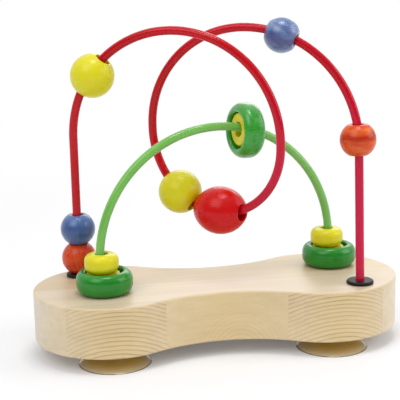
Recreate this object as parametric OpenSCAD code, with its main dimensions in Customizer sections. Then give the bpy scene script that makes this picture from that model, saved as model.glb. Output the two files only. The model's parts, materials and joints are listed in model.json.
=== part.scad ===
// Bead maze: a waisted wooden base on suction cups, a looped red wire, a low green
// arch, and wooden beads and wheels that travel along them.
// Millimetres, +X along the base, -Y to the front, +Z up, Z = 0 under the cups.

/* [Base] */
// Overall length of the base
base_len = 255; // [235:1:280]
// Radius of the two round lobes
lobe_r = 52.2; // [49:0.1:58]
// Width of the base at its waist
waist_w = 63.8; // [50:0.1:76]
// Thickness of the base
base_t = 34.5; // [30:0.5:45]
// Round-over along the edges of the base
edge_r = 1.25; // [1:0.25:4]
// Width of the glued panel's outer strips, in the middle of a lobe
edge_w = 11.2; // [8:0.1:14]

/* [Suction cups] */
// Radius of a cup's rim
cup_r = 25; // [20:0.5:28]
// Height of a cup under the base
cup_h = 10.5; // [9:0.25:14]
// Thickness of a cup's wall
cup_wall = 1.8; // [1.4:0.1:2.4]
// Gap between the two cups under one lobe
cup_gap = 4.4; // [2:0.2:10]
// Radius of the plug that is pressed into the base
plug_r = 5.5; // [4:0.25:7]
// Depth of the plug in the base
plug_depth = 9; // [6:0.5:11]

/* [Wires] */
// Radius of the wires with their sleeves
wire_r = 2.95; // [2.5:0.05:3.2]
// Radius of the steel core
core_r = 1.95; // [1.5:0.05:2.2]
// Depth of the core in the base
core_depth = 20; // [15:0.5:22]
// Radius of a collar's flange
collar_r = 9.25; // [8:0.25:11]
// Thickness of a collar's flange
collar_t = 2.4; // [1.6:0.1:2.8]
// Radius of a collar's spigot
spigot_r = 5; // [4.4:0.1:6]
// Depth of a collar's spigot in the base
spigot_depth = 12; // [8:0.5:14]

/* [Red wire] */
// Height of the left arch's centre above the base
left_arch_z = 99.4; // [94:0.1:110]
// Height of the loop's bottom above the base
loop_low_z = 48.6; // [46:0.1:52]
// Height of the right arch's top above the base
right_arch_top = 173.7; // [165:0.1:180]
// Distance of the loop's sides from the middle, along the base
loop_x = 37.9; // [34:0.1:41]
// Distance of the loop's sides from the middle, across the base
loop_y = 35.5; // [32:0.1:39]
// Lean of the right leg off the upright, in degrees
right_leg_lean = 1; // [0.5:0.1:1.5]

/* [Green wire] */
// Height of the green arch's top above the base
green_top = 107.1; // [105:0.1:112]

/* [Beads] */
// Radius of the large yellow beads
yellow_r = 15.2; // [13:0.1:16]
// Radius of the oval red bead
red_r = 16.5; // [14:0.1:17.5]
// Half length of the oval red bead
red_half = 18.2; // [16:0.1:18.5]
// Radius of the blue and orange beads
ball_r = 12.2; // [10.5:0.1:12.6]
// Half height of the blue and orange beads
ball_half = 10.4; // [9:0.1:11]
// Radius of the small flat yellow beads
flat_r = 11.7; // [10:0.1:13]
// Height of the small flat yellow beads
flat_h = 13; // [11:0.25:14]
// Bore radius of the blue and orange beads
bore_r = 3.9; // [3.8:0.05:4.5]
// Bore radius of the large yellow beads
yellow_bore_r = 5; // [4.7:0.05:5.5]
// Bore radius of the oval red bead
red_bore_r = 5.6; // [5.4:0.05:6]
// Bore radius of the small flat beads
flat_bore_r = 4.3; // [4.1:0.05:4.8]
// Bevel at the mouths of the bores
bore_bevel = 0.6; // [0.4:0.1:1]

/* [Wheels] */
// Outer radius of a wheel's ring
ring_r = 19.25; // [17:0.25:20]
// Width of a wheel's ring
ring_w = 15.25; // [14:0.25:16]
// Inner radius of a wheel's ring
ring_bore_r = 12.6; // [12.2:0.1:13.4]
// Radius of a ring's outer shoulders
ring_round = 5; // [3:0.25:5.25]
// Radius of a wheel's hub
hub_r = 11.6; // [10.6:0.1:12]
// Bore radius of a wheel's hub
hub_bore_r = 5.15; // [5.05:0.05:5.6]

/* [Hidden] */
$fn = 96;

// Overrun of every cut past the face it opens
over = 1;
// Clearance of glued and pressed pieces
fit = 0.05;
// Gap between a loose piece and what it rests or hangs on
seat = 0.3;
// Where two lengths of wire meet, each stops short by the gap and a swelling closes it
weld_gap = 0.05;
weld_swell = 0.02;

// Heights of the base's faces, and the middles of its lobes
base_z = cup_h;
top_z = base_z + base_t;
lobe_x = base_len / 2 - lobe_r;
// How far the middle strips of the panel reach to each side
board_w = lobe_r - edge_w;

// The waist arc is tangent to both lobes
waist_half = waist_w / 2;
waist_r = (lobe_x * lobe_x + waist_half * waist_half - lobe_r * lobe_r) / (2 * (lobe_r - waist_half));
waist_y = waist_half + waist_r;
tangent_share = lobe_r / (lobe_r + waist_r);
// How far the waist's cut goes past the tangent point
waist_bite = 0.05;

// Places of the wire feet, as shares of the lobe radius from the lobe's middle
red_foot_shares = [0.358, 0.609];
green_left_foot_shares = [-0.126, -0.255];
green_right_foot_shares = [0.203, 0.39];

function lobe_point(side, shares) = [side * lobe_x + shares.x * lobe_r, shares.y * lobe_r];
red_a = lobe_point(-1, [-red_foot_shares.x, red_foot_shares.y]);
red_d = lobe_point(1, [red_foot_shares.x, -red_foot_shares.y]);
green_a = lobe_point(-1, green_left_foot_shares);
green_d = lobe_point(1, green_right_foot_shares);
// Plan points where the red wire stands upright between its arches and its loop
red_b = [loop_x, -loop_y];
red_c = [-loop_x, loop_y];

function plan_angle(a, b) = atan2(b.y - a.y, b.x - a.x);
function plan_step(a, b, d) = a + d * (b - a) / norm(b - a);
function raise(p, z) = [p.x, p.y, z];

// Radii of the wires' bends. The loop and the right arch have a tighter and a wider side.
loop_share = 0.463;
right_arch_share = 0.456;
green_arch_share = 0.5;
left_arch_r = norm(red_b - red_a) / 2;
loop_right_r = norm(red_c - red_b) * loop_share;
loop_left_r = norm(red_c - red_b) - loop_right_r;
right_in_r = norm(red_d - red_c) * right_arch_share;
// The right leg leans in the plane of its arch, from the top of its collar up to where the arch ends
right_rise = right_arch_top - collar_t;
right_out_r = (norm(red_d - red_c) - right_in_r - right_rise * tan(right_leg_lean))
    * cos(right_leg_lean) / (1 - sin(right_leg_lean));
green_left_r = norm(green_d - green_a) * green_arch_share;
green_right_r = norm(green_d - green_a) - green_left_r;

// Middles of the bends
left_arch_mid = raise((red_a + red_b) / 2, top_z + left_arch_z);
loop_right_mid = raise(plan_step(red_b, red_c, loop_right_r), top_z + loop_low_z + loop_right_r);
loop_left_mid = raise(plan_step(red_c, red_b, loop_left_r), top_z + loop_low_z + loop_left_r);
right_in_mid = raise(plan_step(red_c, red_d, right_in_r), top_z + right_arch_top - right_in_r);
right_out_mid = raise(plan_step(red_c, red_d, right_in_r), top_z + right_arch_top - right_out_r);
right_leg_z = right_out_mid.z + right_out_r * sin(right_leg_lean);
right_leg_len = (right_leg_z - top_z - collar_t) / cos(right_leg_lean);
green_left_mid = raise(plan_step(green_a, green_d, green_left_r), top_z + green_top - green_left_r);
green_right_mid = raise(plan_step(green_d, green_a, green_right_r), top_z + green_top - green_right_r);

// Plan directions of the upright planes that hold the bends
left_arch_dir = plan_angle(red_a, red_b);
loop_dir = plan_angle(red_c, red_b);
right_arch_dir = plan_angle(red_c, red_d);
green_dir = plan_angle(green_a, green_d);

// Where the beads wait along the bends, in degrees from the far side of the bend
yellow_arch_angle = 143.1;
red_bead_angle = -90;
blue_arch_angle = 70.4;
wheel_arch_angle = 75.3;
// How the wheel on the arch hangs off the direction of its wire, down and to the front
wheel_tilt = 12;
wheel_yaw = 4;
// Height of the middle of the bead on the right leg, above the base
orange_right_z = 99.3;
// Plan directions in which the beads, hubs and rings on the legs lean off what they hang on
left_lean = 60;
right_hub_lean = -110;
left_ring_lean = -20;
right_ring_lean = -10;

// Small rounds and bevels
rim_w = 1.2;
collar_bevel = 0.8;
hub_round = 1.5;
ring_lip = 1.6;
flat_round = 5;
// How far the ends of the hubs lie below those of their rings
hub_drop = 1.25;

// Place and curve of the cups, and where the sleeves start
cup_y = cup_r + cup_gap / 2;
cup_rise = cup_h - cup_wall;
dome_r = (cup_r * cup_r + cup_rise * cup_rise) / (2 * cup_rise);
sleeve_z = top_z - spigot_depth;

// How far the wire bows within a straight bore
function bow(bend_r, half) = bend_r - sqrt(bend_r * bend_r - half * half);
// Angle between the sides a and b of a triangle whose third side is c
function corner_angle(a, b, c) = acos((a * a + b * b - c * c) / (2 * a * b));
// Off-centre place of a bead that hangs on its wire
function hang(r) = r - wire_r - seat;
ring_hang = ring_bore_r - hub_r - seat;
// The large yellow beads end where their bore's bevel does
yellow_rim = yellow_bore_r + bore_bevel;
yellow_half = sqrt(yellow_r * yellow_r - yellow_rim * yellow_rim);
// A bead in the low part of the loop rests on the slanting wire at the ends of its bore
function low_off(hole, half, bend_r) = hole - (wire_r + seat) / cos(asin(half / bend_r))
    - bow(bend_r, half - bore_bevel);
red_off = low_off(red_bore_r, red_half, loop_right_r);
yellow_loop_off = low_off(yellow_bore_r, yellow_half, loop_left_r);
// The large yellow bead there sits against the rim of the oval bead's end, in the upright plane of the loop
red_rim = [-red_half, red_bore_r + bore_bevel - loop_left_r - red_off];
yellow_loop_angle = atan2(red_rim.y, red_rim.x)
    - corner_angle(loop_left_r + yellow_loop_off, norm(red_rim), yellow_r + seat);

// Heights of the stacked pieces above the base
hub_z = collar_t + seat;
hub_h = ring_w - hub_z - hub_drop;
flat_z = hub_z + hub_h + seat;
orange_left_z = collar_t + seat + ball_half;
blue_left_z = orange_left_z + 2 * ball_half + seat;

// Plan places of the pieces on the upright legs
function plan_lean(p, dir, off) = p + off * [cos(dir), sin(dir)];
left_beads = plan_lean(red_a, left_lean, hang(bore_r));
left_hub = plan_lean(green_a, green_dir, hang(hub_bore_r));
left_ring = plan_lean(left_hub, left_ring_lean, ring_hang);
left_flat = plan_lean(green_a, green_dir, hang(flat_bore_r));
right_hub = plan_lean(green_d, right_hub_lean, hang(hub_bore_r) / 3);
right_ring = plan_lean(right_hub, right_ring_lean, ring_hang);
right_flat = plan_lean(green_d, green_dir, -hang(flat_bore_r));
// How far the tilted wheel hangs below the middle of its wire
wheel_off = hub_bore_r - wire_r / cos(wheel_tilt) - seat - hub_h / 2 * tan(wheel_tilt);

wood = [0.93, 0.85, 0.68];
amber = [0.62, 0.46, 0.18, 0.7];
red_colour = [0.78, 0.12, 0.16];
green_colour = [0.4, 0.7, 0.27];
ring_colour = [0.18, 0.52, 0.2];
yellow_colour = [0.87, 0.8, 0.15];
blue_colour = [0.33, 0.44, 0.66];
orange_colour = [0.85, 0.36, 0.14];
dark_colour = [0.16, 0.13, 0.14];
steel = [0.7, 0.71, 0.73];

// Bar outline from radius r0 to r1, height h, with inner corners c0 and outer corners c1
module ring_outline(r0, r1, h, c0, c1) {
    intersection() {
        union() {
            square([r1 - c1, h]);
            translate([0, c1]) square([r1, h - 2 * c1]);
            for (z = [c1, h - c1]) translate([r1 - c1, z]) circle(c1);
        }
        union() {
            translate([r0 + c0, 0]) square([r1 - r0, h]);
            translate([r0, c0]) square([r1 - r0, h - 2 * c0]);
            for (z = [c0, h - c0]) translate([r0 + c0, z]) circle(c0);
        }
    }
}

// One lobe of the base, with rounded edges
module lobe(side) {
    translate([side * lobe_x, 0, base_z]) rotate_extrude() {
        square([lobe_r - edge_r, base_t]);
        translate([0, edge_r]) square([lobe_r, base_t - 2 * edge_r]);
        for (z = [edge_r, base_t - edge_r]) translate([lobe_r - edge_r, z]) circle(edge_r);
    }
}

// What the waist takes away on one side, flared so that it leaves rounded edges
module waist_cut(side) {
    cut_r = waist_r + waist_bite;
    translate([0, side * waist_y, base_z]) rotate_extrude() {
        translate([0, -over]) square([cut_r, base_t + 2 * over]);
        difference() {
            translate([0, -over]) square([cut_r + edge_r, base_t + 2 * over]);
            translate([cut_r, edge_r]) square([edge_r + over, base_t - 2 * edge_r]);
            for (z = [edge_r, base_t - edge_r]) translate([cut_r + edge_r, z]) circle(edge_r);
        }
    }
}

// The whole base before it is split into its strips
module base_blank() {
    corner = tangent_share * [lobe_x, -waist_y];
    difference() {
        union() {
            lobe(-1);
            lobe(1);
            translate([0, 0, base_z]) linear_extrude(base_t) polygon([[-lobe_x, 0],
                [corner.x - lobe_x, corner.y], [lobe_x - corner.x, corner.y], [lobe_x, 0],
                [lobe_x - corner.x, -corner.y], [corner.x - lobe_x, -corner.y]]);
        }
        waist_cut(-1);
        waist_cut(1);
    }
}

// Stepped hole for one wire foot
module foot_hole(foot) {
    translate(raise(foot, top_z - spigot_depth - fit))
        cylinder(h = spigot_depth + fit + over, r = spigot_r + fit);
    translate(raise(foot, top_z - core_depth - fit)) cylinder(h = core_depth, r = core_r + fit);
}

// One strip of the base, from y0 to y1, drilled for the wires and the cups
module board(y0, y1) {
    difference() {
        intersection() {
            base_blank();
            translate([-base_len, y0, 0]) cube([2 * base_len, y1 - y0, top_z + over]);
        }
        for (foot = [red_a, red_d, green_a, green_d])
            if (foot.y > y0 - spigot_r - fit && foot.y < y1 + spigot_r + fit) foot_hole(foot);
        for (sx = [-1, 1])
            for (sy = [-1, 1])
                if (sy * cup_y > y0 - plug_r - fit && sy * cup_y < y1 + plug_r + fit)
                    translate([sx * lobe_x, sy * cup_y, base_z - over])
                        cylinder(h = plug_depth + fit + over, r = plug_r + fit);
    }
}

module front_edge_boards() { color(wood) board(-lobe_r - over, -board_w); }
module front_middle_board() { color(wood) board(-board_w, 0); }
module back_middle_board() { color(wood) board(0, board_w); }
module back_edge_boards() { color(wood) board(board_w, lobe_r + over); }

// Suction cup: a shallow dome with a flat rim, a neck and a plug
module cup(sx, sy) {
    inner_r = cup_r - rim_w;
    inner_rise = cup_rise - cup_wall;
    inner_dome_r = (inner_r * inner_r + inner_rise * inner_rise) / (2 * inner_rise);
    color(amber) translate([sx * lobe_x, sy * cup_y, 0]) {
        rotate_extrude() difference() {
            intersection() {
                translate([0, cup_rise - dome_r]) circle(dome_r);
                square([cup_r, cup_rise]);
            }
            translate([0, inner_rise - inner_dome_r]) circle(inner_dome_r);
        }
        translate([0, 0, cup_rise - cup_wall / 2])
            cylinder(h = cup_h - cup_rise + cup_wall / 2 + plug_depth, r = plug_r);
    }
}
module cup_front_left() { cup(-1, -1); }
module cup_front_right() { cup(1, -1); }
module cup_back_left() { cup(-1, 1); }
module cup_back_right() { cup(1, 1); }

// Straight upright length of wire
module wire_leg(p, z0, z1, r) {
    translate(raise(p, z0)) cylinder(h = z1 - z0, r = r);
}

// Turns the children into the upright plane of a bend
module in_bend(mid, dir) {
    translate(mid) rotate([0, 0, dir]) rotate([90, 0, 0]) children();
}

// Turns the children's Z along the wire at one place of a bend, and moves them out by off
module on_bend(mid, dir, bend_r, at, off) {
    in_bend(mid, dir) rotate([0, 0, at]) translate([bend_r + off, 0, 0]) rotate([-90, 0, 0]) children();
}

// Sets a piece on a plan point, at a height above the base
module on_base(p, z) {
    translate(raise(p, top_z + z)) children();
}

// Sets a piece on the leaning right leg, above the place where the arch ends, moved out by off
module on_right_leg(rise, off) {
    on_bend(right_out_mid, right_arch_dir, right_out_r, right_leg_lean, off)
        translate([0, 0, rise]) children();
}

// Bend of the wire from angle a0 to a1, in the upright plane with plan direction dir
module wire_bend(mid, dir, bend_r, a0, a1, r) {
    short = asin(weld_gap / bend_r);
    in_bend(mid, dir) rotate([0, 0, a0 + short]) rotate_extrude(angle = a1 - a0 - 2 * short)
        translate([bend_r, 0]) circle(r);
}

// Joins the lengths of wire that meet at one place of a bend
module weld(mid, dir, bend_r, at, r) {
    on_bend(mid, dir, bend_r, at, 0) sphere(r + weld_swell);
}

// The red wire: leg, arch, loop, arch, leg
module red_wire(foot_z, r) {
    wire_leg(red_a, foot_z, left_arch_mid.z - weld_gap, r);
    weld(left_arch_mid, left_arch_dir, left_arch_r, 180, r);
    wire_bend(left_arch_mid, left_arch_dir, left_arch_r, 0, 180, r);
    weld(left_arch_mid, left_arch_dir, left_arch_r, 0, r);
    wire_leg(red_b, loop_right_mid.z + weld_gap, left_arch_mid.z - weld_gap, r);
    weld(loop_right_mid, loop_dir, loop_right_r, 0, r);
    wire_bend(loop_right_mid, loop_dir, loop_right_r, -90, 0, r);
    weld(loop_right_mid, loop_dir, loop_right_r, -90, r);
    wire_bend(loop_left_mid, loop_dir, loop_left_r, -180, -90, r);
    weld(loop_left_mid, loop_dir, loop_left_r, -180, r);
    wire_leg(red_c, loop_left_mid.z + weld_gap, right_in_mid.z - weld_gap, r);
    weld(right_in_mid, right_arch_dir, right_in_r, 180, r);
    wire_bend(right_in_mid, right_arch_dir, right_in_r, 90, 180, r);
    weld(right_in_mid, right_arch_dir, right_in_r, 90, r);
    wire_bend(right_out_mid, right_arch_dir, right_out_r, right_leg_lean, 90, r);
    weld(right_out_mid, right_arch_dir, right_out_r, right_leg_lean, r);
    on_right_leg(weld_gap - right_leg_len, 0) cylinder(h = right_leg_len - 2 * weld_gap, r = r);
    on_base(red_d, collar_t) sphere(r + weld_swell);
    wire_leg(red_d, foot_z, top_z + collar_t - weld_gap, r);
}

// The green wire: leg, arch, leg
module green_wire(foot_z, r) {
    wire_leg(green_a, foot_z, green_left_mid.z - weld_gap, r);
    weld(green_left_mid, green_dir, green_left_r, 180, r);
    wire_bend(green_left_mid, green_dir, green_left_r, 90, 180, r);
    weld(green_left_mid, green_dir, green_left_r, 90, r);
    wire_bend(green_right_mid, green_dir, green_right_r, 0, 90, r);
    weld(green_right_mid, green_dir, green_right_r, 0, r);
    wire_leg(green_d, foot_z, green_right_mid.z - weld_gap, r);
}

module red_core() { color(steel) red_wire(top_z - core_depth, core_r); }
module red_sleeve() {
    color(red_colour) difference() {
        red_wire(sleeve_z, wire_r);
        red_wire(sleeve_z - over, core_r + fit);
    }
}
module green_core() { color(steel) green_wire(top_z - core_depth, core_r); }
module green_sleeve() {
    color(green_colour) difference() {
        green_wire(sleeve_z, wire_r);
        green_wire(sleeve_z - over, core_r + fit);
    }
}

// Flanged collar round a wire foot
module collar(foot) {
    color(dark_colour) translate(raise(foot, top_z)) difference() {
        union() {
            cylinder(h = collar_t - collar_bevel, r = collar_r);
            translate([0, 0, collar_t - collar_bevel])
                cylinder(h = collar_bevel, r1 = collar_r, r2 = collar_r - collar_bevel);
            translate([0, 0, -spigot_depth]) cylinder(h = spigot_depth + collar_t / 2, r = spigot_r);
        }
        translate([0, 0, -spigot_depth - over])
            cylinder(h = spigot_depth + collar_t + 2 * over, r = wire_r + fit);
    }
}
module collar_red_left() { collar(red_a); }
module collar_red_right() { collar(red_d); }
module collar_green_left() { collar(green_a); }
module collar_green_right() { collar(green_d); }

// Bore along Z with bevelled mouths, for a bead from -half to half
module bevelled_bore(r, half) {
    translate([0, 0, -half - over]) cylinder(h = 2 * (half + over), r = r);
    for (side = [0, 1]) mirror([0, 0, side])
        translate([0, 0, half - bore_bevel])
            cylinder(h = bore_bevel + over, r1 = r, r2 = r + bore_bevel + over);
}

// Round bead with flat ends, bored along Z
module round_bead(r, half, hole) {
    difference() {
        intersection() {
            sphere(r);
            translate([-r, -r, -half]) cube([2 * r, 2 * r, 2 * half]);
        }
        bevelled_bore(hole, half);
    }
}

// Oval bead bored along Z: an arc turned round the axis, with flat ends
module oval_bead() {
    end_r = red_bore_r + bore_bevel;
    drop = red_r - end_r;
    arc_r = (drop * drop + red_half * red_half) / (2 * drop);
    difference() {
        rotate_extrude() intersection() {
            translate([red_r - arc_r, 0]) circle(arc_r);
            translate([0, -red_half]) square([red_r, 2 * red_half]);
        }
        bevelled_bore(red_bore_r, red_half);
    }
}

module orange_bead_left() {
    color(orange_colour) on_base(left_beads, orange_left_z) round_bead(ball_r, ball_half, bore_r);
}
module blue_bead_left() {
    color(blue_colour) on_base(left_beads, blue_left_z) round_bead(ball_r, ball_half, bore_r);
}
module yellow_bead_top() {
    color(yellow_colour)
        on_bend(left_arch_mid, left_arch_dir, left_arch_r, yellow_arch_angle, -hang(yellow_bore_r))
            round_bead(yellow_r, yellow_half, yellow_bore_r);
}
module red_bead() {
    color(red_colour) on_bend(loop_right_mid, loop_dir, loop_right_r, red_bead_angle, red_off) oval_bead();
}
module yellow_bead_loop() {
    color(yellow_colour) on_bend(loop_left_mid, loop_dir, loop_left_r, yellow_loop_angle, yellow_loop_off)
        round_bead(yellow_r, yellow_half, yellow_bore_r);
}
module blue_bead_top() {
    color(blue_colour) on_bend(right_out_mid, right_arch_dir, right_out_r, blue_arch_angle, -hang(bore_r))
        round_bead(ball_r, ball_half, bore_r);
}
module orange_bead_right() {
    color(orange_colour)
        on_right_leg((top_z + orange_right_z - right_leg_z) / cos(right_leg_lean), -hang(bore_r))
            round_bead(ball_r, ball_half, bore_r);
}

// Wheel hub bored along Z, standing on Z = 0
module hub() {
    color(yellow_colour) rotate_extrude() ring_outline(hub_bore_r, hub_r, hub_h, bore_bevel, hub_round);
}

// Loose wheel ring bored along Z, standing on Z = 0
module ring() {
    color(ring_colour) rotate_extrude() ring_outline(ring_bore_r, ring_r, ring_w, ring_lip, ring_round);
}

// Small flat bead bored along Z, standing on Z = 0
module flat_bead() {
    color(yellow_colour) rotate_extrude() ring_outline(flat_bore_r, flat_r, flat_h, bore_bevel, flat_round);
}

// Turns the children's Z along the axis of the wheel on the arch, at its hub's middle
module on_wheel() {
    on_bend(green_right_mid, green_dir, green_right_r, wheel_arch_angle, -wheel_off)
        rotate([wheel_yaw, -wheel_tilt, 0]) children();
}

module hub_left() { on_base(left_hub, hub_z) hub(); }
module ring_left() { on_base(left_ring, seat) ring(); }
module flat_bead_left() { on_base(left_flat, flat_z) flat_bead(); }
module hub_right() { on_base(right_hub, hub_z) hub(); }
module ring_right() { on_base(right_ring, seat) ring(); }
module flat_bead_right() { on_base(right_flat, flat_z) flat_bead(); }
module hub_top() { on_wheel() translate([0, 0, -hub_h / 2]) hub(); }
module ring_top() { on_wheel() translate([-ring_hang, 0, -ring_w / 2]) ring(); }

front_edge_boards();
front_middle_board();
back_middle_board();
back_edge_boards();
cup_front_left();
cup_front_right();
cup_back_left();
cup_back_right();
red_core();
red_sleeve();
green_core();
green_sleeve();
collar_red_left();
collar_red_right();
collar_green_left();
collar_green_right();
orange_bead_left();
blue_bead_left();
yellow_bead_top();
red_bead();
yellow_bead_loop();
blue_bead_top();
orange_bead_right();
hub_left();
ring_left();
flat_bead_left();
hub_right();
ring_right();
flat_bead_right();
hub_top();
ring_top();
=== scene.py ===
import json
import math

import bpy
import numpy as np
from mathutils import Matrix, Vector


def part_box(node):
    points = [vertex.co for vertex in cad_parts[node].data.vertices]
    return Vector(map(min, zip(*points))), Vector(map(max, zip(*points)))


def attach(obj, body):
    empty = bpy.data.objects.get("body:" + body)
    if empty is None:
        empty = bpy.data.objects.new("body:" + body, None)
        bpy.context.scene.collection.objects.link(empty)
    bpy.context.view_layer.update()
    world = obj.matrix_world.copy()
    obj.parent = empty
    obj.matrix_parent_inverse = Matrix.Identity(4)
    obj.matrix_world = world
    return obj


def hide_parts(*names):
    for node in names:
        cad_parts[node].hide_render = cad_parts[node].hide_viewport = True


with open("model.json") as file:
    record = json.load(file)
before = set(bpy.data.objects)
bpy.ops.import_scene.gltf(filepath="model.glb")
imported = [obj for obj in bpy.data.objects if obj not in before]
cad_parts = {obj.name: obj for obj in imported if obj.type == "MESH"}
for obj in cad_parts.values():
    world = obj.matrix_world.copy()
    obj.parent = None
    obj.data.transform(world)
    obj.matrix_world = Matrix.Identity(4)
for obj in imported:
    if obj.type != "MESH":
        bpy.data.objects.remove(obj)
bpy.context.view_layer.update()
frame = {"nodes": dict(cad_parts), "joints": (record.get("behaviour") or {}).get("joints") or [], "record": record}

NODES = frame["nodes"]
JOINTS = {j["name"]: j for j in frame["joints"]}
BODY_OF = {n: b for b, ns in frame["record"]["behaviour"]["bodies"].items() for n in ns}
UP = Vector((0, 0, 1))
MM = 0.001
TINY = 1e-12


# Shapes: closed outlines are softened, thinned and turned round an axis, and tubes follow a line

def soften(outline, radius, step):
    """A closed outline, resampled every step and rounded at its corners."""
    pts = np.array(outline + outline[:1], float)
    along = np.concatenate([[0], np.cumsum(np.linalg.norm(np.diff(pts, axis=0), axis=1))])
    count = 2 * int(along[-1] / step / 2)  # even, so that a mirrored outline keeps its two points on the axis
    at = np.arange(count) * along[-1] / count
    even = np.stack([np.interp(at, along, pts[:, k]) for k in (0, 1)], axis=1)
    reach = int(3 * radius / step) + 1
    weight = np.exp(-0.5 * (np.arange(-reach, reach + 1) * step / radius) ** 2)
    weight /= weight.sum()
    wrapped = np.concatenate([even[-reach:], even, even[:reach]])
    return np.stack([np.convolve(wrapped[:, k], weight, "valid") for k in (0, 1)], axis=1)


def thin(pts, tolerance):
    """Drops the points of an open line that lie within the tolerance of it."""
    if len(pts) < 3:
        return pts
    span = pts[-1] - pts[0]
    length = np.linalg.norm(span)
    off = pts - pts[0]
    if length > TINY:
        far = np.abs(off[:, 0] * span[1] - off[:, 1] * span[0]) / length
    else:
        far = np.linalg.norm(off, axis=1)
    k = int(far.argmax())
    if far[k] <= tolerance:
        return pts[[0, -1]]
    return np.concatenate([thin(pts[:k + 1], tolerance)[:-1], thin(pts[k:], tolerance)])


def make_piece(name, verts, faces):
    mesh = bpy.data.meshes.new(name)
    mesh.from_pydata([tuple(v) for v in verts], [], faces)
    mesh.shade_smooth()
    mesh.update()
    piece = bpy.data.objects.new(name, mesh)
    bpy.context.scene.collection.objects.link(piece)
    return piece


OUTLINE_STEP = 0.06
OUTLINE_SLACK = 0.004
ON_AXIS = 1e-6


def turned(name, outline, place, corner=0.35, segments=96):
    """Turns an outline of (radius, height) in millimetres round Z and sets it at place.

    An outline that starts and ends on the axis gives a piece without a bore, closed by a point at each end.
    """
    solid = max(outline[0][0], outline[-1][0]) < ON_AXIS
    if solid:
        outline = outline + [(-r, z) for r, z in outline[-2:0:-1]]
    soft = soften(outline, corner, OUTLINE_STEP)
    half = len(soft) // 2
    line = thin(soft[:half + 1], OUTLINE_SLACK)
    if not solid:
        rest = thin(np.concatenate([soft[half:], soft[:1]]), OUTLINE_SLACK)
        line = np.concatenate([line[:-1], rest[:-1]])
    line = line * MM
    rows = line[1:-1] if solid else line
    n = len(rows)
    angle = np.arange(segments) * 2 * math.pi / segments
    verts = [(r * math.cos(a), r * math.sin(a), z) for a in angle for r, z in rows]
    first, last = len(verts), len(verts) + 1
    if solid:
        verts += [(0, 0, line[0][1]), (0, 0, line[-1][1])]
    faces = []
    for i in range(segments):
        a, b = i * n, (i + 1) % segments * n
        faces += [(a + k, b + k, b + k + 1, a + k + 1) for k in range(n - 1)]
        if solid:
            faces += [(first, b, a), (a + n - 1, b + n - 1, last)]
        else:
            faces.append((a + n - 1, b + n - 1, b, a))
    piece = make_piece(name, verts, faces)
    piece.matrix_world = place
    return piece


def swept(name, line, radius, segments=40):
    """A round tube along a line of points."""
    line = [Vector(p) for p in line]
    ways = [(line[min(i + 1, len(line) - 1)] - line[max(i - 1, 0)]).normalized() for i in range(len(line))]
    side = ways[0].orthogonal().normalized()
    verts, faces = [], []
    for i, (p, way) in enumerate(zip(line, ways)):
        side = (side - way * side.dot(way)).normalized()
        other = way.cross(side)
        for k in range(segments):
            a = 2 * math.pi * k / segments
            verts.append(p + radius * (math.cos(a) * side + math.sin(a) * other))
        if i:
            a, b = (i - 1) * segments, i * segments
            faces += [(a + k, a + (k + 1) % segments, b + (k + 1) % segments, b + k) for k in range(segments)]
    faces.append(tuple(reversed(range(segments))))
    faces.append(tuple(range(len(verts) - segments, len(verts))))
    return make_piece(name, verts, faces)


def arc(centre, start, end, r, tall=None):
    """Points of an arc in an outline, angles in degrees; tall gives it another radius upward."""
    count = max(6, int(abs(end - start) / 3))
    angle = np.radians(np.linspace(start, end, count))
    return [(centre[0] + r * math.cos(a), centre[1] + (tall or r) * math.sin(a)) for a in angle]


# Where the frame's pieces are

def middle(node):
    low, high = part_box(node)
    return (low + high) / 2


def joint_point(name):
    return Vector(JOINTS[name]["pos_m"])


def joint_axis(name):
    return Vector(JOINTS[name]["axis"]).normalized()


def along_bend(node, joint):
    """Direction of the wire where a bead waits on a bend."""
    return joint_axis(joint).cross(middle(node) - joint_point(joint)).normalized()


def set_up(centre, axis, turn=0.0):
    """Matrix with Z along the axis, turned about it."""
    quat = axis.to_track_quat("Z", "Y")
    return Matrix.Translation(centre) @ quat.to_matrix().to_4x4() @ Matrix.Rotation(turn, 4, "Z")


def measure(node, centre, axis):
    """Outer radius, half length and bore radius of a turned node, in millimetres."""
    co = np.array([v.co for v in NODES[node].data.vertices], float).reshape(-1, 3) - np.array(centre)
    along = co @ np.array(axis)
    off = np.linalg.norm(co - np.outer(along, np.array(axis)), axis=1)
    return off.max() / MM, np.abs(along).max() / MM, off.min() / MM


def dress(piece, node, material):
    """The piece stands for a CAD node, rides its body and has its slot."""
    piece.data.materials.append(material)
    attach(piece, BODY_OF[node])
    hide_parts(node)


# Outlines of the turned pieces, in millimetres

BEVEL = 0.6


def ball_outline(r, half, bore):
    rim = math.degrees(math.asin(min(1.0, half / r)))
    return ([(bore, half - BEVEL), (bore, BEVEL - half), (bore + BEVEL, -half)] + arc((0, 0), -rim, rim, r)
            + [(bore + BEVEL, half)])


def oval_outline(r, half, bore):
    end = bore + BEVEL
    drop = r - end
    arc_r = (drop * drop + half * half) / (2 * drop)
    rim = math.degrees(math.asin(half / arc_r))
    return [(bore, half - BEVEL), (bore, BEVEL - half)] + arc((r - arc_r, 0), -rim, rim, arc_r)


def bar_outline(r, half, bore, inner, outer, crown):
    """Outline of a ring: inner corner radius, and the outer corners' reach inward and along the axis."""
    return (arc((bore + inner, half - inner), 90, 180, inner) + arc((bore + inner, inner - half), 180, 270, inner)
            + arc((r - outer, crown - half), -90, 0, outer, crown)
            + arc((r - outer, half - crown), 0, 90, outer, crown))


# Materials

def linear(rgb):
    """Colour as seen on a screen, 0 to 255, to the renderer's linear values, by the sRGB curve."""
    shares = [c / 255 for c in rgb]
    return tuple(s / 12.92 if s <= 0.04045 else ((s + 0.055) / 1.055) ** 2.4 for s in shares) + (1.0,)


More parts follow.
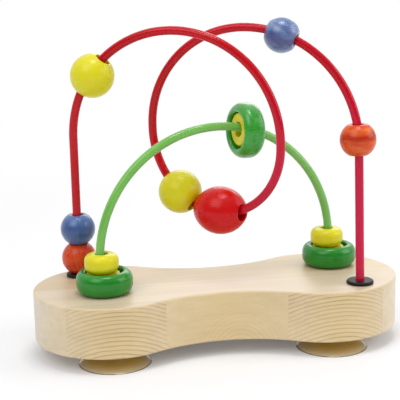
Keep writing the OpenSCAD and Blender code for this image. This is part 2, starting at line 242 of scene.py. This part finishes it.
class Nodes:
    """A short way to add and join the nodes of a tree."""

    def __init__(self, tree):
        self.tree = tree

    def add(self, kind, inputs=None, out=0, **settings):
        node = self.tree.nodes.new("ShaderNode" + kind)
        for key, value in settings.items():
            setattr(node, key, value)
        for key, value in (inputs or {}).items():
            self.feed(node.inputs[key], value)
        return node.outputs[out]

    def feed(self, socket, value):
        if isinstance(value, bpy.types.NodeSocket):
            self.tree.links.new(value, socket)
        else:
            socket.default_value = value

    def math(self, operation, a, b=0.0, c=0.0):
        return self.add("Math", {0: a, 1: b, 2: c}, operation=operation)

    def span(self, value, low, high, start=0.0, end=1.0):
        """Maps a value from start..end to low..high."""
        return self.add("MapRange", {"Value": value, "From Min": start, "From Max": end,
                                     "To Min": low, "To Max": high})

    def parts(self, vector):
        """X, Y and Z of a vector."""
        node = self.tree.nodes.new("ShaderNodeSeparateXYZ")
        self.feed(node.inputs[0], vector)
        return node.outputs


class Look(Nodes):
    """A material round a Principled shader, whose constants are set by name."""

    def __init__(self, name, **shader):
        self.material = bpy.data.materials.new(name)
        self.material.use_nodes = True
        super().__init__(self.material.node_tree)
        self.shader = self.tree.nodes["Principled BSDF"]
        for key, value in shader.items():
            self.shader.inputs[key.replace("_", " ")].default_value = value

    def set(self, key, value):
        self.feed(self.shader.inputs[key], value)

    def place(self, scale, move=(0, 0, 0)):
        """Object coordinates, scaled from metres."""
        where = self.add("TexCoord", out="Object")
        return self.add("Mapping", {"Vector": where, "Scale": scale, "Location": move})

    def millimetres(self):
        """X, Y and Z of the object coordinates, in millimetres."""
        return self.parts(self.place((1000, 1000, 1000)))

    def noise(self, where, scale=1.0, detail=2.0, rough=0.5, distortion=0.0):
        return self.add("TexNoise", {"Vector": where, "Scale": scale, "Detail": detail, "Roughness": rough,
                                     "Distortion": distortion})

    def ramp(self, value, stops):
        node = self.tree.nodes.new("ShaderNodeValToRGB")
        marks = node.color_ramp.elements
        while len(marks) < len(stops):
            marks.new(0.5)
        for mark, (at, colour) in zip(marks, stops):
            mark.position = at
            mark.color = colour if len(colour) == 4 else linear(colour)
        self.feed(node.inputs["Fac"], value)
        return node.outputs["Color"]

    def mix(self, share, a, b, blend="MIX"):
        node = self.tree.nodes.new("ShaderNodeMix")
        node.data_type = "RGBA"
        node.blend_type = blend
        for socket, value in ((node.inputs[0], share), (node.inputs[6], a), (node.inputs[7], b)):
            self.feed(socket, value)
        return node.outputs[2]

    def bump(self, height, strength, distance):
        self.set("Normal", self.add("Bump", {"Height": height, "Strength": strength, "Distance": distance}))


def grey(v):
    return (v, v, v, 1.0)


# Nearly all values of a noise lie in this range
NOISE = (0.3, 0.7)

# Cross-section of one growth ring: pale early wood, then a thin dark line
LATE_WOOD = [(0.0, grey(0.0)), (0.62, grey(0.04)), (0.86, grey(1.0)), (0.94, grey(0.5)), (1.0, grey(0.0))]


def wood_start(name, seed):
    """A lacquered softwood: its position in millimetres, its facing, and its fine fibre along X."""
    look = Look(name, IOR=1.5, Coat_Weight=0.25, Coat_Roughness=0.33)
    facing = look.parts(look.add("NewGeometry", out="Normal"))
    fibre = look.noise(look.place((55, 2600, 2600), (seed, 0, 0)), detail=3.0, rough=0.65)
    return look, look.millimetres(), facing, fibre


def wood_lines(look, count, seed):
    """Thin dark lines, one for each whole step of count, each with its own strength."""
    late = look.ramp(look.math("FRACT", count), LATE_WOOD)
    year = look.add("CombineXYZ", {"X": look.math("FLOOR", count), "Y": float(seed)})
    patch = look.noise(look.place((22, 60, 60), (2 * seed, 0, 0)), detail=2.0)
    depth = look.math("MULTIPLY", look.span(look.noise(year, scale=3.7, detail=0.0), 0.5, 1.25),
                      look.span(patch, 0.6, 1.25, *NOISE))
    return look.math("MULTIPLY", late, depth)


def wander(look, seed, wide, fine):
    """How far the growth rings stray from true rounds, in millimetres."""
    slow = look.math("SUBTRACT", look.noise(look.place((9, 26, 26), (seed, 0.3 * seed, 0)), detail=2.5), 0.5)
    quick = look.math("SUBTRACT", look.noise(look.place((60, 220, 220), (0, seed, 0)), detail=1.0), 0.5)
    return look.math("MULTIPLY_ADD", slow, wide, look.math("MULTIPLY", quick, fine))


def wood_finish(look, shade, facing, fibre, side, top, tip, dark, seed):
    """Colours the wood by where it faces, partly for the grain's cut and partly as painted light and shade, draws its
    lines and gives it its lacquer.
    """
    upward = look.math("POWER", look.math("ABSOLUTE", facing["Z"]), 2.0)
    endward = look.math("POWER", look.math("ABSOLUTE", facing["X"]), 1.5)
    # Painted light and shade: the side and end colours are set lighter than the top's, to even out how the lamps fall
    # on each face.
    wood = look.mix(endward, linear(side), linear(tip))
    wood = look.mix(upward, wood, linear(top))
    calm = look.math("SUBTRACT", 1.0, look.math("MULTIPLY", look.math("MAXIMUM", endward, upward), 0.8))
    wood = look.mix(look.math("MULTIPLY", shade, calm), wood, linear(dark))
    cloud = look.noise(look.place((6, 40, 40), (0, 0, seed)), detail=2.0)
    streak = look.noise(look.place((5, 230, 230), (seed, seed, 0)), detail=3.0, rough=0.6)
    tone = look.math("MULTIPLY", look.span(fibre, 0.95, 1.05, 0.25, 0.75),
                     look.span(cloud, 0.96, 1.04, *NOISE))
    tone = look.math("MULTIPLY", tone, look.span(streak, 1.03, 0.95, 0.35, 0.7))
    tint = look.add("CombineColor", {"Red": tone, "Green": look.math("POWER", tone, 1.15),
                                     "Blue": look.math("POWER", tone, 1.5)})
    look.set("Base Color", look.mix(1.0, wood, tint, "MULTIPLY"))
    look.set("Roughness", look.span(fibre, 0.36, 0.5, *NOISE))
    look.bump(look.math("MULTIPLY_ADD", shade, -0.4, look.math("MULTIPLY", fibre, 0.35)), 0.15, 0.0002)
    return look.material


def ring_board(name, pith, gap, strength, side, top, tip, dark, seed):
    """Strip that shows its growth rings: rounds about a pith line at (y, z) millimetres, a gap apart."""
    look, where, facing, fibre = wood_start(name, seed)
    across = look.math("SUBTRACT", where["Y"], pith[0])
    height = look.math("SUBTRACT", where["Z"], pith[1])
    reach = look.math("SQRT", look.math("MULTIPLY_ADD", across, across, look.math("MULTIPLY", height, height)))
    count = look.math("DIVIDE", look.math("ADD", reach, wander(look, seed, 3.0, 0.8)), gap)
    shade = look.math("MULTIPLY", wood_lines(look, count, seed), strength)
    return wood_finish(look, shade, facing, fibre, side, top, tip, dark, seed)


# How far from the place the faint rounds start to fade and are gone, in millimetres
FADE = (14.0, 38.0)


def plain_board(name, knot, gap, strength, side, top, tip, dark, seed):
    """Strip that is almost plain, with faint rounds about a place at (x, z) millimetres on its long side."""
    look, where, facing, fibre = wood_start(name, seed)
    along = look.math("SUBTRACT", where["X"], knot[0])
    height = look.math("SUBTRACT", where["Z"], knot[1])
    reach = look.math("SQRT", look.math("MULTIPLY_ADD", along, along, look.math("MULTIPLY", height, height)))
    count = look.math("DIVIDE", look.math("ADD", reach, wander(look, seed, 5.0, 1.0)), gap)
    fade = look.math("MULTIPLY", look.span(reach, 1.0, 0.0, *FADE), strength)
    shade = look.math("MULTIPLY", wood_lines(look, count, seed), fade)
    return wood_finish(look, shade, facing, fibre, side, top, tip, dark, seed)


# How far a belt wanders, in millimetres
BELT_STRAY = 9.0


def lacquer_look(name, base, deep, pale, streaks, bands, grain, mottle, seed, roughness, gloss=0.5,
                 coat=0.0, belt=None):
    """Stained or painted turned wood under lacquer; streaks and bands give the grain's scale each way.

    A belt is a darker round: its axis, its place along it, its half width in millimetres and its strength.
    """
    look = Look(name, IOR=1.5, Specular_IOR_Level=gloss, Coat_Weight=coat, Coat_Roughness=0.3)
    streak = look.noise(look.place(streaks, (seed, seed, 0)), detail=3.0, rough=0.6, distortion=0.3)
    band = look.noise(look.place(bands, (0, seed, seed)), detail=2.0, distortion=0.8)
    cloud = look.noise(look.place((70, 70, 70), (seed, 0, seed)), detail=2.0)
    colour = look.mix(look.span(streak, 0.0, grain, 0.42, 0.74), linear(base), linear(pale))
    colour = look.mix(look.span(band, 0.0, grain, 0.48, 0.74), colour, linear(deep))
    colour = look.mix(look.span(cloud, 0.0, 0.5 * mottle, 0.4, 0.7), colour, linear(deep))
    if belt:
        axis, spot, half, strength = belt
        stray = look.math("MULTIPLY_ADD", look.math("SUBTRACT", cloud, 0.5), BELT_STRAY, look.millimetres()[axis])
        off = look.math("ABSOLUTE", look.math("SUBTRACT", stray, spot))
        colour = look.mix(look.span(off, strength, 0.0, 0.3 * half, 1.4 * half), colour, linear(deep))
    look.set("Base Color", colour)
    look.set("Roughness", look.span(streak, roughness - 0.04, roughness + 0.06, *NOISE))
    look.bump(look.math("ADD", streak, look.math("MULTIPLY", cloud, 0.6)), 0.012, 0.00015)
    return look.material


def sleeve_look(name, base, deep, pale, gloss, sheen, seed, tinge=None):
    """Smooth extruded plastic sleeve with faint flow marks; a tinge colours its low right part."""
    look = Look(name, IOR=1.49, Specular_IOR_Level=gloss, Sheen_Weight=sheen)
    cloud = look.noise(look.place((24, 24, 24), (seed, 0, 0)), detail=2.0)
    speck = look.noise(look.place((500, 500, 500), (0, seed, 0)), detail=2.0)
    colour = look.ramp(cloud, [(0.32, deep), (0.52, base), (0.74, pale)])
    if tinge:
        where = look.millimetres()
        share = look.math("MULTIPLY", look.span(where["X"], 0.0, 1.0, 10.0, 45.0),
                          look.span(where["Z"], 1.0, 0.15, 110.0, 185.0))
        colour = look.mix(share, colour, linear(tinge))
    look.set("Base Color", look.mix(look.span(speck, 0.0, 0.08, 0.45, 0.8), colour, linear(pale)))
    look.set("Roughness", look.span(speck, 0.11, 0.16, *NOISE))
    look.bump(speck, 0.004, 0.0001)
    return look.material


def cup_look(name):
    """Soft amber vinyl that lets some light through, paler at its rim as painted light for the white floor seen
    through it.
    """
    look = Look(name, IOR=1.45, Transmission_Weight=0.9)
    cloud = look.noise(look.place((60, 60, 160)), detail=2.0)
    body = look.ramp(cloud, [(0.3, (246, 206, 104)), (0.7, (252, 220, 128))])
    # Painted light: the lowest 4 mm turn pale, for the floor's light seen through the thin rim.
    rim = look.span(look.millimetres()["Z"], 0.8, 0.0, 0.5, 4.0)
    look.set("Base Color", look.mix(rim, body, linear((254, 248, 228))))
    look.set("Roughness", look.span(cloud, 0.08, 0.16, *NOISE))
    fine = look.noise(look.place((900, 900, 900)), detail=2.0)
    look.bump(fine, 0.04, 0.0002)
    return look.material


def collar_look(name):
    """Near-black moulded plastic with a fine matte texture."""
    look = Look(name, IOR=1.48, Specular_IOR_Level=0.2)
    grain = look.noise(look.place((1600, 1600, 1600)), detail=3.0)
    cloud = look.noise(look.place((90, 90, 90)), detail=2.0)
    look.set("Base Color", look.ramp(cloud, [(0.3, (30, 22, 25)), (0.7, (42, 32, 36))]))
    look.set("Roughness", look.span(grain, 0.36, 0.52, *NOISE))
    look.bump(grain, 0.2, 0.0001)
    return look.material


def steel_look(name):
    """Drawn steel wire, lines along its length."""
    look = Look(name, Metallic=1.0)
    lines = look.noise(look.place((900, 900, 60)), detail=2.0)
    look.set("Base Color", look.ramp(lines, [(0.3, (150, 152, 156)), (0.7, (196, 198, 202))]))
    look.set("Roughness", look.span(lines, 0.25, 0.42, *NOISE))
    return look.material


# Base: the CAD strips with their wood

def paint(node, material):
    NODES[node].data.materials.clear()
    NODES[node].data.materials.append(material)


# Wood colours for the sides, tops, ends and ring lines. The facing colours are partly the grain's cut and partly
# painted light and shade, with sides and ends lighter than the top. The back strips' top is a little darker.
SIDE, TOP, TIP, DARK = (228, 203, 153), (216, 198, 170), (224, 210, 188), (178, 136, 80)
BACK_TOP = (214, 192, 156)
FRONT, BACK = (SIDE, TOP, TIP, DARK), (SIDE, BACK_TOP, TIP, DARK)
paint("front_edge_boards", ring_board("wood_front_edge", (-150, -80), 2.1, 0.8, *FRONT, seed=1.0))
paint("front_middle_board", plain_board("wood_front_middle", (10, 3), 3.0, 0.32, *FRONT, seed=4.0))
paint("back_middle_board", plain_board("wood_back_middle", (-12, 4), 3.2, 0.4, *BACK, seed=7.0))
paint("back_edge_boards", ring_board("wood_back_edge", (152, -78), 2.1, 0.8, *BACK, seed=11.0))

TOP_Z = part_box("front_middle_board")[1].z

# Wires: legs and bends in line, round the middles that the joints give

COLLAR_T, SPIGOT = 2.4, 12.0
WIRE_R = 2.95 * MM
STEP = 1.5 * MM
LEAN_STEPS = 24


def plan(p):
    return Vector((p.x, p.y, 0))


def leg_line(foot, z0, z1):
    count = max(2, int(abs(z1 - z0) / (4 * STEP)))
    return [plan(foot) + UP * (z0 + (z1 - z0) * i / count) for i in range(count)]


def bend_line(mid, way, r, a0, a1):
    count = max(4, int(math.radians(abs(a1 - a0)) * r / STEP))
    angle = [math.radians(a0 + (a1 - a0) * i / count) for i in range(count)]
    return [mid + r * (math.cos(a) * way + math.sin(a) * UP) for a in angle]


red_a, red_d = middle("collar_red_left"), middle("collar_red_right")
green_a, green_d = middle("collar_green_left"), middle("collar_green_right")
left_mid, loop_right_mid = joint_point("yellow_top_travel"), joint_point("red_travel")
loop_left_mid, right_out_mid = joint_point("yellow_loop_travel"), joint_point("blue_top_travel")
green_left_mid, green_right_mid = joint_point("wheel_left_travel"), joint_point("wheel_top_travel")

arch_way = plan(left_mid - red_a).normalized()
left_r = plan(left_mid - red_a).length
red_b = plan(left_mid) + arch_way * left_r
loop_way = plan(red_b - loop_right_mid).normalized()
loop_right_r = plan(red_b - loop_right_mid).length
loop_left_r = loop_left_mid.z - loop_right_mid.z + loop_right_r
red_c = plan(loop_left_mid) - loop_way * loop_left_r
right_way = plan(red_d - right_out_mid).normalized()
lean = math.acos(joint_axis("orange_right_slide").z)
KINK_Z = TOP_Z + COLLAR_T * MM
leg_reach = (right_out_mid.z - KINK_Z) * math.tan(lean)
right_out_r = (plan(red_d - right_out_mid).length - leg_reach) * math.cos(lean)
right_in_r = plan(red_c - right_out_mid).length
right_in_mid = right_out_mid + UP * (right_out_r - right_in_r)
green_way = plan(green_right_mid - green_a).normalized()
green_left_r = plan(green_left_mid - green_a).length
green_right_r = plan(green_d - green_right_mid).length
FOOT_Z = TOP_Z - SPIGOT * MM
leg_top = right_out_mid + right_out_r * (math.cos(lean) * right_way + math.sin(lean) * UP)
kink = plan(red_d) + UP * KINK_Z
lean_line = [leg_top.lerp(kink, i / LEAN_STEPS) for i in range(LEAN_STEPS)]

red_line = (leg_line(red_a, FOOT_Z, left_mid.z)
            + bend_line(left_mid, arch_way, left_r, 180, 0)
            + leg_line(red_b, left_mid.z, loop_right_mid.z)
            + bend_line(loop_right_mid, loop_way, loop_right_r, 0, -90)
            + bend_line(loop_left_mid, loop_way, loop_left_r, -90, -180)
            + leg_line(red_c, loop_left_mid.z, right_in_mid.z)
            + bend_line(right_in_mid, right_way, right_in_r, 180, 90)
            + bend_line(right_out_mid, right_way, right_out_r, 90, math.degrees(lean))
            + lean_line
            + leg_line(red_d, KINK_Z, FOOT_Z) + [plan(red_d) + UP * FOOT_Z])
green_line = (leg_line(green_a, FOOT_Z, green_left_mid.z)
              + bend_line(green_left_mid, green_way, green_left_r, 180, 90)
              + bend_line(green_right_mid, green_way, green_right_r, 90, 0)
              + leg_line(green_d, green_right_mid.z, FOOT_Z) + [plan(green_d) + UP * FOOT_Z])
red_plastic = sleeve_look("red_plastic", (194, 10, 24), (186, 8, 20), (202, 16, 40), gloss=0.28, sheen=0.0, seed=2.0,
                          tinge=(206, 14, 66))
green_plastic = sleeve_look("green_plastic", (114, 186, 78), (104, 178, 66), (128, 196, 94), gloss=0.5, sheen=0.25,
                            seed=5.0)
dress(swept("red_wire", red_line, WIRE_R), "red_sleeve", red_plastic)
dress(swept("green_wire", green_line, WIRE_R), "green_sleeve", green_plastic)
steel = steel_look("wire_steel")
for node in ("red_core", "green_core"):
    paint(node, steel)

# Collars and cups, in millimetres: a collar's flange lies on the base and its spigot goes in; a cup has a plug

collar_plastic = collar_look("collar_plastic")
COLLAR_BORE_R, SPIGOT_R, FLANGE_R, FLANGE_EDGE = 3.0, 5.0, 9.25, 0.8
COLLAR = [(COLLAR_BORE_R, COLLAR_T), (COLLAR_BORE_R, -SPIGOT), (SPIGOT_R, -SPIGOT), (SPIGOT_R, 0.0), (FLANGE_R, 0.0),
          (FLANGE_R, COLLAR_T - FLANGE_EDGE), (FLANGE_R - FLANGE_EDGE, COLLAR_T)]
for node in ("collar_red_left", "collar_red_right", "collar_green_left", "collar_green_right"):
    place = Matrix.Translation(plan(middle(node)) + UP * TOP_Z)
    dress(turned(node.replace("collar", "washer"), COLLAR, place, corner=0.25, segments=64), node, collar_plastic)

amber = cup_look("amber_vinyl")
CUP_R, CUP_RISE, CUP_WALL, CUP_RIM = 25.0, 8.7, 1.8, 1.2
PLUG_R, PLUG_LOW, PLUG_TOP, PLUG_FOOT = 5.5, 8.2, 19.4, 0.5


def dome(r, rise):
    """Line of a dome from its rim to its middle."""
    big = (r * r + rise * rise) / (2 * rise)
    open_angle = math.degrees(math.asin(r / big))
    return arc((0, rise - big), 90 - open_angle, 90, big)


outer = dome(CUP_R, CUP_RISE)
inner = dome(CUP_R - CUP_RIM, CUP_RISE - CUP_WALL)
PLUG = [(PLUG_R, PLUG_LOW), (PLUG_R, PLUG_TOP), (0.0, PLUG_TOP)]
CUP = inner[::-1] + [p for p in outer if p[0] > PLUG_R + PLUG_FOOT] + PLUG
for node in ("cup_front_left", "cup_front_right", "cup_back_left", "cup_back_right"):
    place = Matrix.Translation(plan(middle(node)))
    dress(turned(node.replace("cup", "sucker"), CUP, place, corner=0.3), node, amber)

# Beads and wheels

# Scales of the grain: along the axis, or round it
FINE, WIDE = (760, 760, 110), (90, 90, 24)
ROUND_FINE, ROUND_WIDE = (70, 70, 520), (20, 20, 150)
YELLOW = ((224, 216, 20), (210, 196, 16), (230, 224, 40), FINE, WIDE)
RED = ((208, 9, 14), (190, 6, 11), (216, 14, 18), FINE, WIDE)
BLUE = ((98, 126, 178), (48, 58, 124), (150, 176, 208), FINE, WIDE)
SKY_BLUE = ((66, 104, 164), (36, 58, 124), (98, 138, 188), FINE, WIDE)
ORANGE = ((222, 78, 12), (182, 30, 8), (240, 130, 30), ROUND_FINE, ROUND_WIDE)
ORANGE_RED = ((210, 56, 8), (180, 34, 8), (232, 104, 22), FINE, WIDE)
GREEN = ((26, 136, 32), (20, 114, 26), (44, 154, 46), FINE, WIDE)
# A lighter copy of the green for the arch wheel's ring: painted light, for its face that the side lamp lights.
LIT_GREEN = ((42, 158, 42), (28, 132, 32), (72, 176, 62), FINE, WIDE)
yellow = lacquer_look("yellow_paint", *YELLOW, grain=0.1, mottle=0.15, seed=1.0, roughness=0.3, gloss=0.4)
yellow_hub = lacquer_look("yellow_hub_paint", *YELLOW, grain=0.15, mottle=0.25, seed=5.0, roughness=0.4, gloss=0.4)
red = lacquer_look("red_paint", *RED, grain=0.2, mottle=0.4, seed=2.0, roughness=0.24, gloss=0.27)
blue_left = lacquer_look("blue_stain_left", *SKY_BLUE, grain=0.6, mottle=0.5, seed=3.0, roughness=0.3, coat=0.5,
                         belt=("Z", 1.0, 4.0, 0.6))
# Its belt is painted shade: a darker band a little below the middle, between the lit top and the floor's reflection
# below.
blue_top = lacquer_look("blue_stain_and_painted_shade_top", *BLUE, grain=0.7, mottle=0.5, seed=9.0, roughness=0.3, coat=0.7,
                        belt=("Y", -1.5, 4.5, 0.85))
orange_left = lacquer_look("orange_stain_left", *ORANGE_RED, grain=0.8, mottle=0.5, seed=4.0, roughness=0.28,
                           gloss=0.4)
orange_right = lacquer_look("orange_stain_right", *ORANGE, grain=0.9, mottle=0.4, seed=6.0, roughness=0.28, gloss=0.4,
                            belt=("Z", 2.5, 3.2, 0.8))
green = lacquer_look("green_stain", *GREEN, grain=0.35, mottle=0.35, seed=8.0, roughness=0.22)
lit_green = lacquer_look("lit_green_stain", *LIT_GREEN, grain=0.5, mottle=0.4, seed=10.0, roughness=0.24, coat=0.4)


def bead(name, node, axis, outline, material, turn=0.0, **corners):
    centre = middle(node)
    size = measure(node, centre, axis)
    dress(turned(name, outline(*size, **corners), set_up(centre, axis, turn)), node, material)


def bend_bead(name, node, joint, outline, material):
    bead(name, node, along_bend(node, joint), outline, material)


bead("bead_orange_low", "orange_bead_left", UP, ball_outline, orange_left, 0.4)
bead("bead_blue_low", "blue_bead_left", UP, ball_outline, blue_left, 1.1)
bend_bead("bead_yellow_arch", "yellow_bead_top", "yellow_top_travel", ball_outline, yellow)
bend_bead("bead_red_oval", "red_bead", "red_travel", oval_outline, red)
bend_bead("bead_yellow_loop", "yellow_bead_loop", "yellow_loop_travel", ball_outline, yellow)
bend_bead("bead_blue_arch", "blue_bead_top", "blue_top_travel", ball_outline, blue_top)
bead("bead_orange_leg", "orange_bead_right", joint_axis("orange_right_slide"), ball_outline, orange_right, 2.0)
HUB = {"inner": 0.6, "outer": 1.5, "crown": 1.5}
RING = {"inner": 1.6, "outer": 5.0, "crown": 6.2}
FLAT = {"inner": 0.6, "outer": 5.0, "crown": 5.0}
for side, turn in (("left", 0.3), ("right", 1.4)):
    bead("wheel_hub_" + side, "hub_" + side, UP, bar_outline, yellow_hub, turn, **HUB)
    bead("wheel_ring_" + side, "ring_" + side, UP, bar_outline, green, turn, **RING)
    bead("cap_bead_" + side, "flat_bead_" + side, UP, bar_outline, yellow, turn, **FLAT)
wheel_way = joint_axis("wheel_top_spin")
bead("wheel_hub_arch", "hub_top", wheel_way, bar_outline, yellow_hub, 0.5, **HUB)
bead("wheel_ring_arch", "ring_top", wheel_way, bar_outline, lit_green, 0.9, **RING)

# Floor, light and camera

scene = bpy.context.scene
scene.view_settings.view_transform = "Standard"


def seen_directly(look):
    """One for rays from the camera and for those that metal, gloss or clear plastic send on."""
    path = look.tree.nodes.new("ShaderNodeLightPath")
    total = path.outputs["Is Camera Ray"]
    for other in ("Is Glossy Ray", "Is Transmission Ray"):
        total = look.math("MAXIMUM", total, path.outputs[other])
    return total


FLOOR_HALF = 14.0
NEAR, FAR = 0.3, 0.7  # metres from the origin between which the floor turns plain white
GLOW = 0.1
floor = make_piece("floor", [(x, y, 0) for x, y in ((-1, -1), (1, -1), (1, 1), (-1, 1))], [(0, 1, 2, 3)])
floor.scale = (FLOOR_HALF, FLOOR_HALF, 1)
floor_look = Look("floor_white")
tree = floor_look.tree
plain = floor_look.add("BsdfDiffuse", {"Color": grey(0.8)})
shown = floor_look.add("BsdfDiffuse", {"Color": (0.84, 0.84, 0.85, 1.0)})
glow = floor_look.add("Emission", {"Color": (0.92, 0.94, 1.0, 1.0), "Strength": GLOW})
white = floor_look.add("Emission", {"Color": grey(1.0), "Strength": 1.0})
spot = floor_look.add("NewGeometry", out="Position")
away = floor_look.add("VectorMath", {0: spot}, out="Value", operation="LENGTH")
lit = floor_look.add("AddShader", {0: shown, 1: glow})
lit = floor_look.add("MixShader", {0: floor_look.span(away, 0.0, 1.0, NEAR, FAR), 1: lit, 2: white})
both = floor_look.add("MixShader", {0: seen_directly(floor_look), 1: plain, 2: lit})
tree.links.new(both, tree.nodes["Material Output"].inputs["Surface"])
tree.nodes.remove(floor_look.shader)
floor.data.materials.append(floor_look.material)

world = bpy.data.worlds.new("studio")
scene.world = world
world.use_nodes = True
sky = world.node_tree.nodes["Background"]
sky.inputs["Color"].default_value = (1, 1, 1, 1)

# The backdrop is white to the eye and through clear plastic; in gloss the room in front of the toy is dimmer than it
FILL, ROOM, BACKDROP, CEILING = 0.54, 0.1, 0.9, 0.6
sky_look = Nodes(world.node_tree)
way = sky_look.parts(sky_look.add("TexCoord", out="Generated"))
gloss = sky_look.math("ADD", sky_look.span(way["Y"], ROOM, BACKDROP, -0.2, 0.4),
                      sky_look.span(way["Z"], 0.0, CEILING, 0.4, 0.95))
path = sky_look.tree.nodes.new("ShaderNodeLightPath").outputs
level = sky_look.add("Mix", {0: path["Is Glossy Ray"], 2: FILL, 3: gloss})
plain_ways = sky_look.math("MAXIMUM", path["Is Camera Ray"], path["Is Transmission Ray"])
sky_look.feed(sky.inputs["Strength"], sky_look.add("Mix", {0: plain_ways, 2: level, 3: 1.0}))


def softbox(name, spot, target, size, power):
    lamp = bpy.data.lights.new(name, "AREA")
    lamp.shape = "RECTANGLE"
    lamp.size, lamp.size_y = size
    lamp.energy = power
    holder = bpy.data.objects.new(name, lamp)
    scene.collection.objects.link(holder)
    holder.location = spot
    holder.rotation_mode = "QUATERNION"
    holder.rotation_quaternion = (Vector(target) - Vector(spot)).to_track_quat("-Z", "Y")


AIM = (0, 0, 0.09)
softbox("key", (-0.75, -0.65, 1.1), AIM, (0.9, 0.9), 5.8)
softbox("top", (0.05, -0.15, 1.5), AIM, (0.5, 0.4), 5.4)
softbox("side", (1.25, -0.3, 0.75), AIM, (0.9, 0.9), 6.5)
softbox("rim", (0.45, 1.15, 0.72), AIM, (0.9, 0.5), 3.0)

EYE = Vector((-0.12695, -0.73198, 0.26561))
TARGET = Vector((-0.010767, 0.0, 0.102231))
ROLL = math.radians(-1.223)
LENS = 99.33
lens = bpy.data.cameras.new("camera")
lens.sensor_width = 36.0
lens.lens = LENS
lens.clip_start, lens.clip_end = 0.01, 100.0
camera = bpy.data.objects.new("camera", lens)
scene.collection.objects.link(camera)
back = (EYE - TARGET).normalized()
right = UP.cross(back).normalized()
upward = back.cross(right)
right, upward = (right * math.cos(ROLL) + upward * math.sin(ROLL),
                 upward * math.cos(ROLL) - right * math.sin(ROLL))
camera.matrix_world = Matrix.Translation(EYE) @ Matrix((right, upward, back)).transposed().to_4x4()
scene.camera = camera
